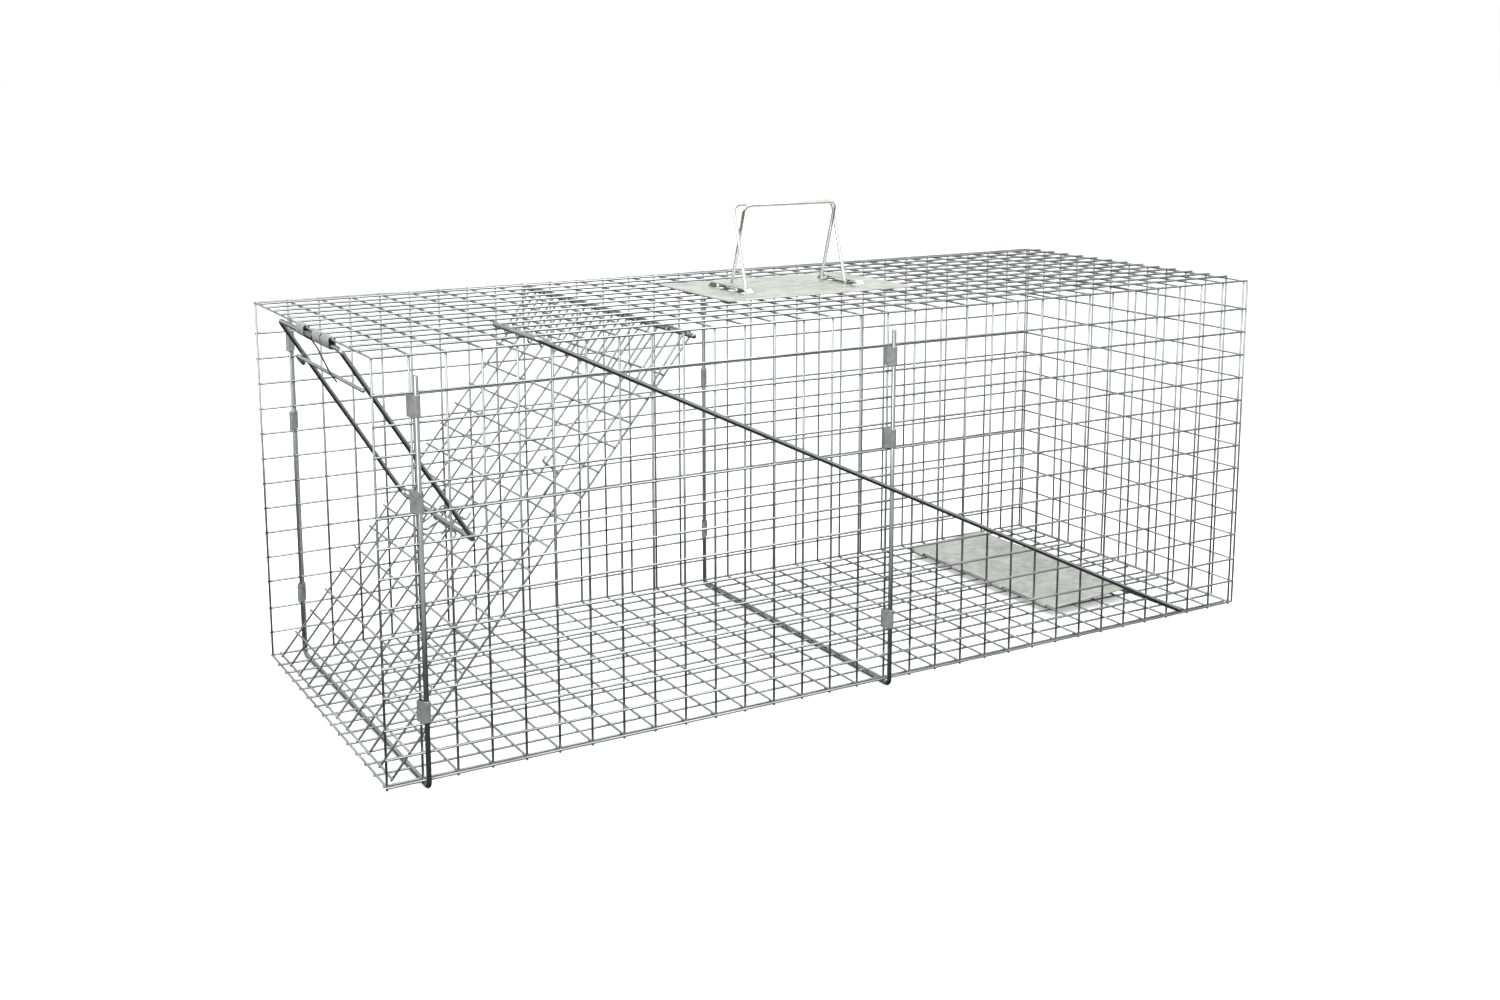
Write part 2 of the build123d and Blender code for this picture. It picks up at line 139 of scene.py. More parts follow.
# %% Galvanised wire
def galvanised_wire():
    made, tree = empty_material("hot_dip_galvanised_wire")
    place = node(tree, "ShaderNodeTexCoord")
    patch = node(tree, "ShaderNodeTexNoise", None, {
        "Vector": place.outputs["Object"], "Scale": per_metre(45), "Detail": 3.0})
    grain = node(tree, "ShaderNodeTexNoise", None, {
        "Vector": place.outputs["Object"], "Scale": per_metre(0.8), "Detail": 2.0})
    tint = node(tree, "ShaderNodeValToRGB", None, {"Fac": patch.outputs["Fac"]})
    tint.color_ramp.elements[0].position = 0.3
    tint.color_ramp.elements[0].color = linear("9ea0a0")
    tint.color_ramp.elements[1].position = 0.7
    tint.color_ramp.elements[1].color = linear("c4c6c6")
    rough = node(tree, "ShaderNodeMapRange", None, {
        "Value": patch.outputs["Fac"], "To Min": 0.3, "To Max": 0.48})
    bump = node(tree, "ShaderNodeBump", None, {
        "Height": grain.outputs["Fac"], "Strength": 0.25, "Distance": 0.0001})
    skin = node(tree, "ShaderNodeBsdfPrincipled", None, {
        "Base Color": tint.outputs["Color"], "Metallic": 1.0,
        "Roughness": rough.outputs["Result"], "Normal": bump.outputs["Normal"]})
    node(tree, "ShaderNodeOutputMaterial", None, {"Surface": skin.outputs["BSDF"]})
    return made


mesh_wire = galvanised_wire()
print("made", mesh_wire.name)

# %% [markdown]
# ## Zinc-plated drawn rod
#
# The stiffeners, the lock frame and the trigger are cold-drawn steel rod with a thin electroplated
# coat. Drawing leaves fine scratches along the rod, and plating keeps them, so it is smoother and
# darker than the dipped mesh: it mirrors the white room on top and the shade beneath. Real draw
# lines are a few hundredths of a millimetre apart; they are drawn at 0.6 mm here, so that they show.

# %% Plated rod, and a darker spring wire
def plated_rod(name, dark, light, smoothest, roughest):
    made, tree = empty_material(name)
    place = node(tree, "ShaderNodeTexCoord")
    cloud = node(tree, "ShaderNodeTexNoise", None, {
        "Vector": place.outputs["Object"], "Scale": per_metre(22), "Detail": 4.0})
    lines = node(tree, "ShaderNodeTexNoise", None, {
        "Vector": place.outputs["Object"], "Scale": per_metre(0.6), "Detail": 1.0})
    tint = node(tree, "ShaderNodeMix", {"data_type": "RGBA"}, {
        "Factor": cloud.outputs["Fac"], "A": linear(dark), "B": linear(light)})
    rough = node(tree, "ShaderNodeMapRange", None, {
        "Value": cloud.outputs["Fac"], "To Min": smoothest, "To Max": roughest})
    bump = node(tree, "ShaderNodeBump", None, {
        "Height": lines.outputs["Fac"], "Strength": 0.15, "Distance": 0.0001})
    skin = node(tree, "ShaderNodeBsdfPrincipled", None, {
        "Base Color": tint.outputs["Result"], "Metallic": 1.0,
        "Roughness": rough.outputs["Result"], "Normal": bump.outputs["Normal"]})
    node(tree, "ShaderNodeOutputMaterial", None, {"Surface": skin.outputs["BSDF"]})
    return made


round_rod = plated_rod("zinc_plated_drawn_rod", "929494", "acaeae", 0.16, 0.28)
spring_wire = plated_rod("zinc_plated_spring_wire", "6f7171", "8a8c8c", 0.25, 0.4)
handle_wire = plated_rod("bright_plated_handle_wire", "d2d3d0", "f1f1ee", 0.12, 0.22)
print("made", round_rod.name, spring_wire.name, handle_wire.name)

# %% [markdown]
# ## Spangled galvanised sheet
#
# The treadle and the guard plate are cut from galvanised sheet. As the zinc sets it grows crystals
# 6 to 15 mm across, the spangle, and each one faces its own way, so it shines a little brighter or
# duller than the next. A Voronoi pattern gives such cells: its random colour drives the tone and
# the roughness. The zinc's passivation leaves a faint green cast.

# %% Spangled sheet
def spangled_sheet(name, dark, light, spangle_mm):
    made, tree = empty_material(name)
    place = node(tree, "ShaderNodeTexCoord")
    sway = node(tree, "ShaderNodeTexNoise", None, {
        "Vector": place.outputs["Object"], "Scale": per_metre(60), "Detail": 2.0})
    crystal = node(tree, "ShaderNodeTexVoronoi", {"feature": "F1"}, {
        "Vector": place.outputs["Object"], "Scale": per_metre(spangle_mm)})
    facet = node(tree, "ShaderNodeSeparateColor", None, {"Color": crystal.outputs["Color"]})
    blended = node(tree, "ShaderNodeMath", {"operation": "MULTIPLY_ADD"}, {
        0: facet.outputs["Red"], 1: 0.45, 2: sway.outputs["Fac"]})
    tint = node(tree, "ShaderNodeValToRGB", None, {"Fac": blended.outputs["Value"]})
    tint.color_ramp.elements[0].position = 0.35
    tint.color_ramp.elements[0].color = linear(dark)
    tint.color_ramp.elements[1].position = 1.0
    tint.color_ramp.elements[1].color = linear(light)
    rough = node(tree, "ShaderNodeMapRange", None, {
        "Value": facet.outputs["Green"], "To Min": 0.32, "To Max": 0.5})
    ripple = node(tree, "ShaderNodeBump", None, {
        "Height": sway.outputs["Fac"], "Strength": 0.35, "Distance": 0.0012})
    grain = node(tree, "ShaderNodeBump", None, {
        "Height": crystal.outputs["Distance"], "Strength": 0.12, "Distance": 0.0002,
        "Normal": ripple.outputs["Normal"]})
    skin = node(tree, "ShaderNodeBsdfPrincipled", None, {
        "Base Color": tint.outputs["Color"], "Metallic": 0.85,
        "Roughness": rough.outputs["Result"], "Normal": grain.outputs["Normal"]})
    node(tree, "ShaderNodeOutputMaterial", None, {"Surface": skin.outputs["BSDF"]})
    return made


plate_sheet = spangled_sheet("spangled_galvanised_sheet", "a9b0a7", "ccd2c9", 9.0)
clip_sheet = spangled_sheet("folded_galvanised_strip", "a4a6a6", "bfc1c1", 4.0)
print("made", plate_sheet.name, clip_sheet.name)

# %% [markdown]
# ## Sweeping a round section
#
# Nearly everything here is round wire that follows a path. A Blender curve with a bevel could do
# it, but its ends are cut flat and sharp. This small sweep carries a ring of points along the path
# with a frame that never twists, and draws the first and last rings in a little, which gives every
# wire the softened end that shears and zinc leave.

# %% Sweep, bend and blob
def new_shape():
    return {"points": [], "faces": []}


def add_tube(shape, path, radius, sides=12):
    """A round wire along a list of places in metres. The radius is in millimetres."""
    r = radius * MM
    ways = [(b - a).normalized() for a, b in zip(path, path[1:])]
    ways = [ways[0]] + [(a + b).normalized() for a, b in zip(ways, ways[1:])] + [ways[-1]]
    stops = [(path[0], 0.62), (path[0] + ways[0] * r * 0.35, 1.0)]
    stops += [(p, 1.0) for p in path[1:-1]]
    stops += [(path[-1] - ways[-1] * r * 0.35, 1.0), (path[-1], 0.62)]
    ways = [ways[0]] + ways[:1] + ways[1:-1] + [ways[-1]] + [ways[-1]]
    side = ways[0].orthogonal().normalized()
    first = len(shape["points"])
    for (place, grow), way in zip(stops, ways):
        side = (side - way * side.dot(way)).normalized()
        other = way.cross(side)
        for k in range(sides):
            turn = 2 * math.pi * k / sides
            shape["points"].append(place + (side * math.cos(turn) + other * math.sin(turn)) * r * grow)
    for ring in range(len(stops) - 1):
        low = first + ring * sides
        for k in range(sides):
            nxt = (k + 1) % sides
            shape["faces"].append((low + k, low + nxt, low + sides + nxt, low + sides + k))
    last = first + (len(stops) - 1) * sides
    shape["faces"].append(tuple(first + k for k in reversed(range(sides))))
    shape["faces"].append(tuple(last + k for k in range(sides)))


def rounded(corners, bends, steps=7):
    """The corners joined by straight runs and round bends. Bends are radii in millimetres."""
    radii = bends if isinstance(bends, (list, tuple)) else [bends] * (len(corners) - 2)
    path = [corners[0]]
    for before, here, after, radius in zip(corners, corners[1:], corners[2:], radii):
        come, go = (here - before).normalized(), (after - here).normalized()
        turn = come.angle(go)
        reach = radius * MM * math.tan(turn / 2)
        start = here - come * reach
        inward = (go - come * go.dot(come)).normalized()
        for k in range(steps + 1):
            a = turn * k / steps
            path.append(start + (come * math.sin(a) + inward * (1 - math.cos(a))) * radius * MM)
    return path + [corners[-1]]


def add_blob(shape, place, sizes):
    """A small weld or bead: an egg of the given half sizes in millimetres."""
    first = len(shape["points"])
    sides, rows = 8, 4
    shape["points"].append(place - Vector((0, 0, sizes[2])) * MM)
    for row in range(1, rows):
        lift = -math.pi / 2 + math.pi * row / rows
        for k in range(sides):
            turn = 2 * math.pi * k / sides
            out = Vector((math.cos(turn) * math.cos(lift), math.sin(turn) * math.cos(lift), math.sin(lift)))
            shape["points"].append(place + Vector(o * s for o, s in zip(out, sizes)) * MM)
    shape["points"].append(place + Vector((0, 0, sizes[2])) * MM)
    top = len(shape["points"]) - 1
    for k in range(sides):
        nxt = (k + 1) % sides
        shape["faces"].append((first, first + 1 + nxt, first + 1 + k))
        for row in range(rows - 2):
            low = first + 1 + row * sides
            shape["faces"].append((low + k, low + nxt, low + sides + nxt, low + sides + k))
        low = first + 1 + (rows - 2) * sides
        shape["faces"].append((low + k, low + nxt, top))


def add_strip(shape, line, thick, run, closed=False):
    """Bent sheet: a line of places, given thickness in millimetres and drawn out along run."""
    count = len(line)
    across = run.normalized()
    first = len(shape["points"])
    for i, place in enumerate(line):
        before = line[i - 1] if i or closed else line[i]
        after = line[(i + 1) % count] if i < count - 1 or closed else line[i]
        a, b = (place - before), (after - place)
        come = a.normalized() if a.length else b.normalized()
        go = b.normalized() if b.length else a.normalized()
        normal = across.cross(come + go).normalized()
        grow = 1 / max(0.4, math.cos(come.angle(go) / 2))
        off = normal * thick * MM / 2 * grow
        shape["points"] += [place + off, place - off, place - off + run, place + off + run]
    pairs = count if closed else count - 1
    for i in range(pairs):
        a, b = first + 4 * i, first + 4 * ((i + 1) % count)
        for k in range(4):
            n = (k + 1) % 4
            shape["faces"].append((a + k, b + k, b + n, a + n))
    if not closed:
        shape["faces"].append((first, first + 1, first + 2, first + 3))
        end = first + 4 * (count - 1)
        shape["faces"].append((end + 3, end + 2, end + 1, end))


def finish_piece(name, shape, body, nodes, material, edge_mm=0.0):
    """Makes the mesh, gives it its finish, ties it to its body and hides the CAD nodes that it stands for.
    """
    mesh = bpy.data.meshes.new(name)
    mesh.from_pydata(shape["points"], [], shape["faces"])
    mesh.validate()
    mesh.shade_smooth()
    mesh.materials.append(material)
    piece = bpy.data.objects.new(name, mesh)
    bpy.context.scene.collection.objects.link(piece)
    if edge_mm:
        mesh.set_sharp_from_angle(angle=math.radians(35))
        soften = piece.modifiers.new("softened_edges", "BEVEL")
        soften.width = edge_mm * MM
        soften.segments = 2
        soften.limit_method = "ANGLE"
        soften.angle_limit = math.radians(50)
    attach(piece, body)
    if nodes:
        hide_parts(*nodes)
    print(f"{name}: {len(shape['points'])} points, rides on {body}")
    return piece


# %% [markdown]
# ## The mesh spacing
#
# The cage is 31 cells long. Its side rows are 28 mm apart, with one wider gap near the floor and
# one under the roof, where the sheet of mesh was folded. The cross wires of all four walls stand
# at the same places, because walls, floor and roof are one welded sheet.

# %% Where the wires are
cross_xs = [length / 31 * i for i in range(32)]
row_gaps = [28, 28, 31] + [28] * 10 + [35]
row_zs = [sum(row_gaps[:i]) for i in range(1, len(row_gaps))]
roof_pitch = width / 14
run_from, run_to = -wire_ends, length + wire_r
print("rows at", row_zs)

# %% [markdown]
# ## Walls, roof and floor
#
# Each wall is two layers of straight wire. Where two wires cross, resistance welding has squeezed
# them together, and the zinc fills the corner, so a small flat bead sits on each crossing. It
# catches the light as a dot and makes the mesh look welded, not stacked.

# %% A welded sheet of wires
def welded_sheet(name, first_runs, second_runs, welds, weld_sizes, node_names, body="cage"):
    shape = new_shape()
    for start, stop in first_runs + second_runs:
        add_tube(shape, [start, stop], wire_r, 10)
    for place in welds:
        add_blob(shape, place, weld_sizes)
    return finish_piece(name, shape, body, node_names, mesh_wire)


def side_wall(name, y_in, y_out, foot, node_name):
    rows = [wire_r] + row_zs + [height - wire_r]
    top = height - 2 * wire_r - contact
    along = [(at(run_from, y_out, z), at(run_to, y_out, z)) for z in rows]
    uprights = [(at(x, y_in, foot), at(x, y_in, top)) for x in cross_xs]
    welds = [at(x, (y_in + y_out) / 2, z) for x in cross_xs for z in rows]
    return welded_sheet(name, along, uprights, welds, (1.45, 0.9, 1.45), [node_name])


side_wall("near_wall_wires", wire_r + contact, -wire_r, -2 * wire_r, "near_side_mesh")
far_foot = 2 * wire_r + contact
side_wall("far_wall_wires", width - wire_r - contact, width + wire_r, far_foot, "far_side_mesh")

# %% Roof, floor and rear
roof_ys = [i * roof_pitch for i in range(1, 14)]
roof_low = height - wire_r - contact
welded_sheet(
    "roof_wires",
    [(at(run_from, y, height + wire_r), at(run_to, y, height + wire_r)) for y in roof_ys],
    [(at(x, contact / 2, roof_low), at(x, width - contact / 2, roof_low)) for x in cross_xs],
    [at(x, y, height) for x in cross_xs for y in roof_ys],
    (1.45, 1.45, 0.9),
    ["roof_mesh"],
)

seam_inset = 9.6
floor_pitch = (width - seam_inset) / 14
floor_ys = [seam_inset + i * floor_pitch for i in range(14)]
floor_start = 2 * wire_r + 2 * contact
welded_sheet(
    "floor_wires",
    [(at(run_from, y, -wire_r), at(run_to, y, -wire_r)) for y in floor_ys],
    [(at(x, floor_start, wire_r + contact), at(x, width - contact, wire_r + contact)) for x in cross_xs],
    [at(x, y, contact / 2) for x in cross_xs for y in floor_ys],
    (1.45, 1.45, 0.9),
    ["floor_mesh"],
)

rear_rows = [wire_r] + row_zs + [height - wire_r]
rear_ys = [width / 12 * i for i in range(13)]
rear_x = length + 2 * wire_r + 2 * contact
rear_out = rear_x + 2 * wire_r + contact
welded_sheet(
    "rear_panel_wires",
    [(at(rear_x, -1.0, z), at(rear_x, width + 1.0, z)) for z in rear_rows],
    [(at(rear_out, y, 0), at(rear_out, y, height)) for y in rear_ys],
    [at((rear_x + rear_out) / 2, y, z) for y in rear_ys for z in rear_rows],
    (0.9, 1.45, 1.45),
    ["rear_panel"],
)

# %% [markdown]
# ## The door and its rolled wire ends
#
# The door hangs on a rod across the cage, 320 mm back from the front. It has no hinge plates: each
# lengthwise wire is rolled round the rod, laid back over the door and ended in a small hook round
# the door's first cross wire. So one path makes the whole wire, from the foot of the door to the
# tip of the hook. `on_door` measures s down from the hinge rod and n out from the door's face.

# %% Measuring on the door
rod_r = 2.5
running = 0.3
hinge_drop = 7.3
hinge_x, hinge_z = 320.0, height - hinge_drop
foot_x, foot_z = 4.0, 4.0
door_slope = math.atan2(hinge_z - foot_z, hinge_x - foot_x)
door_long = math.hypot(hinge_z - foot_z, hinge_x - foot_x)
curl_r = rod_r + running + wire_r


def on_door(s, y, n):
    """A place on the shut door, in millimetres from the hinge rod."""
    x = -s * math.cos(door_slope) - n * math.sin(door_slope)
    z = -s * math.sin(door_slope) + n * math.cos(door_slope)
    return at(hinge_x + x, y, hinge_z + z)


print("door slope", round(math.degrees(door_slope), 2), "degrees, length", round(door_long, 1), "mm")


# %% Door wires, rolled at the top
def rolled_wire(y):
    """One lengthwise door wire: up the door, round the hinge rod, back, and hooked down."""
    path = [on_door(door_long, y, -curl_r)]
    turns = 14
    for k in range(turns + 1):
        a = math.radians(-90 - 185 * k / turns)
        path.append(on_door(curl_r * math.cos(a), y, curl_r * math.sin(a)))
    tail = [path[-1], on_door(54, y, 1.4), on_door(60, y, 0.4), on_door(61.5, y, -3.6)]
    return path[:-1] + rounded(tail, [8.0, 2.0], 4)


door_pitch, door_row_pitch, half_row = 34.6, 28.3, 195
door_ys = [width / 2 + (i - 5.5) * door_pitch for i in range(12)]
row_n = -curl_r + 2 * wire_r + contact
row_ss = [door_long - 3.0 - door_row_pitch * k for k in range(17)]
door_shape = new_shape()
for y in door_ys:
    add_tube(door_shape, rolled_wire(y), wire_r, 10)
for s in row_ss:
    row_ends = [on_door(s, width / 2 + side * half_row, row_n) for side in (-1, 1)]
    add_tube(door_shape, row_ends, wire_r, 10)
for y in door_ys:
    for s in row_ss:
        add_blob(door_shape, on_door(s, y, row_n - wire_r), (1.35, 1.45, 1.35))
finish_piece("door_wires", door_shape, "door", ["door_mesh", "door_hinge_loops"], mesh_wire)

# %% [markdown]
# ## Bent rods
#
# The stiffeners are two U-shaped rods that go down one wall, under the floor and up the other. They
# carry the whole trap, because nothing else reaches the ground. A rod is bent cold round a former,
# so its corners are round, and its two ends are sheared.

# %% Rods that belong to the cage
def rod_piece(name, corners, bends, radius, body, node_name, material=round_rod):
    shape = new_shape()
    add_tube(shape, rounded(corners, bends), radius, 20)
    return finish_piece(name, shape, body, [node_name], material)


ground = -(2 * wire_r + 2 * rod_r + contact)
leg_out = 2 * wire_r + rod_r + contact
leg_top, beside_wire = 383, 3.6
stiffener_xs = [cross_xs[1] + beside_wire, cross_xs[16] + beside_wire]
stiffener_names = ["front_stiffener_rod", "middle_stiffener_rod"]
for x, name in zip(stiffener_xs, stiffener_names):
    low = ground + rod_r
    rod_piece(
        name.replace("_rod", "_bent_rod"),
        [
            at(x, -leg_out, leg_top), at(x, -leg_out, low),
            at(x, width + leg_out, low), at(x, width + leg_out, leg_top),
        ],
        5.5, rod_r, "cage", name,
    )

far_over, turn_down = 22.5, 14
elbow_y = width + far_over - rod_r
rod_piece(
    "door_hinge_bent_rod",
    [at(hinge_x, -4, hinge_z), at(hinge_x, elbow_y, hinge_z), at(hinge_x, elbow_y, hinge_z - turn_down)],
    6.0, rod_r, "cage", "door_hinge_rod",
)

# %% [markdown]
# ## Folded clips
#
# Each stiffener leg is tied to an upright by three short pieces of strip, folded round rod and wire
# together and pinched shut. The fold hugs the thick rod on one side and the thin wire on the other,
# so its outline is a teardrop: two arcs joined by straight flanks.

# %% Twelve ferrules
def teardrop(fat, fat_r, thin, thin_r, steps=10):
    """Points in the plane round two circles, as a tight band would lie."""
    span = Vector(thin) - Vector(fat)
    facing = math.atan2(span.y, span.x)
    open_angle = math.acos((fat_r - thin_r) / span.length)
    points = []
    for k in range(steps + 1):
        a = facing + open_angle + (2 * math.pi - 2 * open_angle) * k / steps
        points.append((fat[0] + fat_r * math.cos(a), fat[1] + fat_r * math.sin(a)))
    for k in range(steps + 1):
        a = facing - open_angle + 2 * open_angle * k / steps
        points.append((thin[0] + thin_r * math.cos(a), thin[1] + thin_r * math.sin(a)))
    return points


clip_shape = new_shape()
sheet = 1.2
clip_tall = 20.0
leg_and_wire = ((-leg_out, wire_r + contact), (width + leg_out, width - wire_r - contact))
for x in stiffener_xs:
    for rod_y, wire_y in leg_and_wire:
        band = teardrop((x, rod_y), rod_r + sheet / 2, (x - 4.6, wire_y), wire_r + sheet / 2 + 0.3)
        for z in (355.0, 267.0, 69.0):
            fold = [at(px, py, z - clip_tall / 2) for px, py in band]
            add_strip(clip_shape, fold, sheet, Vector((0, 0, clip_tall * MM)), closed=True)
finish_piece("folded_ferrules", clip_shape, "cage", ["stiffener_clips"], clip_sheet, 0.25)

# %% [markdown]
# ## The lock frame
#
# A rectangle of rod hangs from the roof's front wire and leans back on the shut door. Pushed from
# inside, the door jams against its foot bar. It has a cross brace near the top with an eye rolled
# at one end, and a torsion spring wound on its top bar, which presses it on to the door.

# %% Measuring on the lock frame
lock_lean = math.radians(58.0)
lock_near, lock_far, lock_reach = 94.0, 304.0, 237.0
pivot_z = height - hinge_drop


def on_lock(r, y, n=0.0):
    """A place on the lock frame: r from its pivot, n off its front side, in millimetres."""
    x = r * math.cos(lock_lean) - n * math.sin(lock_lean)
    z = -r * math.sin(lock_lean) - n * math.cos(lock_lean)
    return at(x, y, pivot_z + z)


lock_joint = 210.0
rod_piece(
    "lock_frame_bent_rod",
    [
        on_lock(0, lock_joint - 1), on_lock(0, lock_near), on_lock(lock_reach, lock_near),
        on_lock(lock_reach, lock_far), on_lock(0, lock_far), on_lock(0, lock_joint + 1),
    ],
    [6.0, 7.0, 7.0, 6.0], rod_r, "lock", "lock_frame",
)

# %% Brace with its rolled eye
brace_r, brace_s = 2.0, 45.0
brace_n = rod_r + brace_r + contact
eye_r = 5.0
brace_path = [on_lock(brace_s, lock_near - 3, brace_n)]
brace_far = lock_far + 11
for k in range(25):
    a = math.radians(-90 + 330 * k / 24)
    eye_s = brace_s + eye_r + eye_r * math.sin(a)
    brace_path.append(on_lock(eye_s, brace_far + eye_r * math.cos(a), brace_n))
brace_shape = new_shape()
add_tube(brace_shape, brace_path, brace_r, 18)
finish_piece("lock_brace_eyed_rod", brace_shape, "lock", ["lock_brace"], mesh_wire)

# %% Torsion spring, wound as a real coil
coil_mid, coil_run = 6.5 * roof_pitch, 22.0
coil_wire = 0.8
coil_turns = 12
coil_r = rod_r + 0.1 + coil_wire
coil_path = []
for k in range(coil_turns * 16 + 1):
    a = 2 * math.pi * k / 16
    y = coil_mid + coil_run / 2 - coil_wire - (coil_run - 2 * coil_wire) * k / (coil_turns * 16)
    coil_path.append(on_lock(coil_r * math.sin(a), y, coil_r * math.cos(a)))
arm_y = coil_mid - coil_run / 2 + coil_wire
over = brace_n + brace_r + coil_wire
arm = [coil_path[-1], on_lock(10, arm_y, coil_r)]
arm += [on_lock(brace_s - 8, arm_y, over), on_lock(brace_s + 5, arm_y, over)]
spring_shape = new_shape()
add_tube(spring_shape, coil_path[:-1] + rounded(arm, [3.0, 3.0], 4), coil_wire, 8)
finish_piece("lock_torsion_spring", spring_shape, "lock", ["lock_spring"], spring_wire)

# %% Pull loop on the foot bar
pull_foot = rod_r + contact
pull_near, pull_far, pull_high = 188, 210, pull_foot + 17
rod_piece(
    "lock_pull_wire",
    [
        on_lock(lock_reach, pull_near, pull_foot), on_lock(lock_reach, pull_near, pull_high),
        on_lock(lock_reach, pull_far, pull_high), on_lock(lock_reach, pull_far, pull_foot),
    ],
    6.0, 1.25, "lock", "lock_pull_loop",
)

# %% Sheet clips that hang the frame
hang_shape = new_shape()
hang_r = rod_r + running + sheet / 2
hang_wide = 24
for cell in (4, 5, 7):
    y = (cell + 0.5) * roof_pitch - hang_wide / 2
    loop = [at(hang_r * math.cos(a), y, pivot_z + hang_r * math.sin(a))
            for a in (math.pi + math.pi * k / 14 for k in range(15))]
    loop += [at(hang_r, y, height - 1.2), at(hang_r - 1.2, y, height + 0.6)]
    loop += [at(1.2 - hang_r, y, height + 0.6), at(-hang_r, y, height - 1.2)]
    add_strip(hang_shape, loop, sheet, Vector((0, hang_wide * MM, 0)), closed=True)
finish_piece("lock_hanging_clips", hang_shape, "cage", ["lock_hinge_clips"], clip_sheet, 0.25)

# %% [markdown]
# ## Catch hook and stop loops
#
# Two small wire parts are welded to the door. The stop loops keep the lock frame's foot bar from
# sliding down. The hook stands up through the roof when the door is open, and the trigger rod's end
# holds it there. It is laid out on the open door, and then turned back by the door's swing.

# %% Wires welded to the door
stub_x = 151.0
stub_z = height + 2 * wire_r + rod_r + running
swing = math.radians(49.0)
hook_wire, hook_y, stub_gap = 1.25, 2.5 * roof_pitch, 0.4
set_shift = 5.3
hook_x = stub_x - set_shift - rod_r - stub_gap - hook_wire


def when_open(x, y, z):
    """Where a point of the open door lies once the door is shut."""
    dx, dz = x - hinge_x, z - hinge_z
    turned_x = dx * math.cos(swing) - dz * math.sin(swing)
    turned_z = dx * math.sin(swing) + dz * math.cos(swing)
    return at(hinge_x + turned_x, y, hinge_z + turned_z)


droop = door_slope - swing
base_n = row_n + wire_r + contact + hook_wire
hook_top = stub_z + rod_r + stub_gap + hook_wire
far_x = hook_x - 26.0
rod_piece(
    "door_catch_wire",
    [
        when_open(far_x, hook_y, hinge_z - (hinge_x - far_x) * math.tan(droop) + base_n),
        when_open(hook_x, hook_y, hinge_z - (hinge_x - hook_x) * math.tan(droop) + base_n),
        when_open(hook_x, hook_y, hook_top),
        when_open(stub_x - rod_r - stub_gap, hook_y, hook_top),
    ],
    [3.0, 2.5], hook_wire, "door", "door_catch_hook", mesh_wire,
)

stop_shape = new_shape()
stop_foot, stop_top = row_n + 2 * wire_r + contact, 20.2
stop_high, stop_low, toe = 266, 282, 10
stop_line = [(stop_high - toe, stop_foot), (stop_high, stop_foot), (stop_high, stop_top)]
stop_line += [(stop_low, stop_top), (stop_low, stop_foot), (stop_low + toe, stop_foot)]
for y in (6.5 * roof_pitch, 7.5 * roof_pitch):
    add_tube(stop_shape, rounded([on_door(s, y, n) for s, n in stop_line], 3.0), wire_r, 10)
finish_piece("door_stop_wires", stop_shape, "door", ["door_stop_loops"], mesh_wire)

# %% [markdown]
# ## Treadle and trigger
#
# The treadle is one sheet. Its front has short tabs rolled round a floor wire, and its rear edge is
# rolled into a hem round the trigger rod, so a paw that presses it down pulls the rod back. As a
# real fold is one bent strip, the hem is drawn as the sheet's own line carried round the rod.

# %% Treadle sheet with its rolled hem
pin_x, pin_z = cross_xs[25], wire_r + contact
hem_r = rod_r + 0.1 + sheet
hem_x, hem_z = 982.0, 2 * wire_r + rod_r + 0.1 + sheet + running
tab_r = wire_r + running + sheet
treadle_near, treadle_far = 84.0, 382.0
rise = math.atan2(hem_z + hem_r - pin_z - tab_r, hem_x - pin_x)
treadle_run = Vector((0, (treadle_far - treadle_near) * MM, 0))
treadle_shape = new_shape()


def roll(x, z, radius, y, start, stop, steps=16):
    """An arc of sheet seen along Y, from one angle to another, in degrees."""
    angles = [math.radians(start + (stop - start) * k / steps) for k in range(steps + 1)]
    return [at(x + radius * math.cos(a), y, z + radius * math.sin(a)) for a in angles]


tilt = math.degrees(rise)
hem_line = roll(hem_x, hem_z, hem_r - sheet / 2, treadle_near, 90 + tilt, -225 + tilt, 22)
tab_line_r = tab_r - sheet / 2
front_x, front_z = pin_x - math.sin(rise) * tab_line_r, pin_z + math.cos(rise) * tab_line_r
front_edge = at(front_x, treadle_near, front_z)
sheet_line = [front_edge.lerp(hem_line[0], k / 8) for k in range(8)] + hem_line
add_strip(treadle_shape, sheet_line, sheet, treadle_run)
tab_wide = 18
for i in (3, 6, 9, 12):
    tab_near = floor_ys[i] + (floor_pitch - tab_wide) / 2
    tab_line = roll(pin_x, pin_z, tab_line_r, tab_near, 88 + tilt, 392 + tilt, 18)
    add_strip(treadle_shape, tab_line, sheet, Vector((0, tab_wide * MM, 0)))
finish_piece(
    "treadle_folded_sheet", treadle_shape, "treadle", ["treadle_plate"], plate_sheet, 0.25
)

# %% Trigger rod
trigger_y = -10.0
rod_piece(
    "trigger_bent_rod",
    [
        at(hem_x, treadle_far + 6, hem_z), at(hem_x, trigger_y, hem_z),
        at(stub_x, trigger_y, stub_z), at(stub_x, 90, stub_z),
    ],
    8.0, rod_r, "trigger", "trigger_rod",
)

# %% [markdown]
# ## Guard plate and carry handle
#
# The guard plate keeps teeth away from the hand. Two ribs are lanced and pressed up out of it, and
# the feet of the two wire bails lie under them. The plate is built as bent strips round the two
# slots that the ribs leave, then the ribs themselves, so the slots are really open.

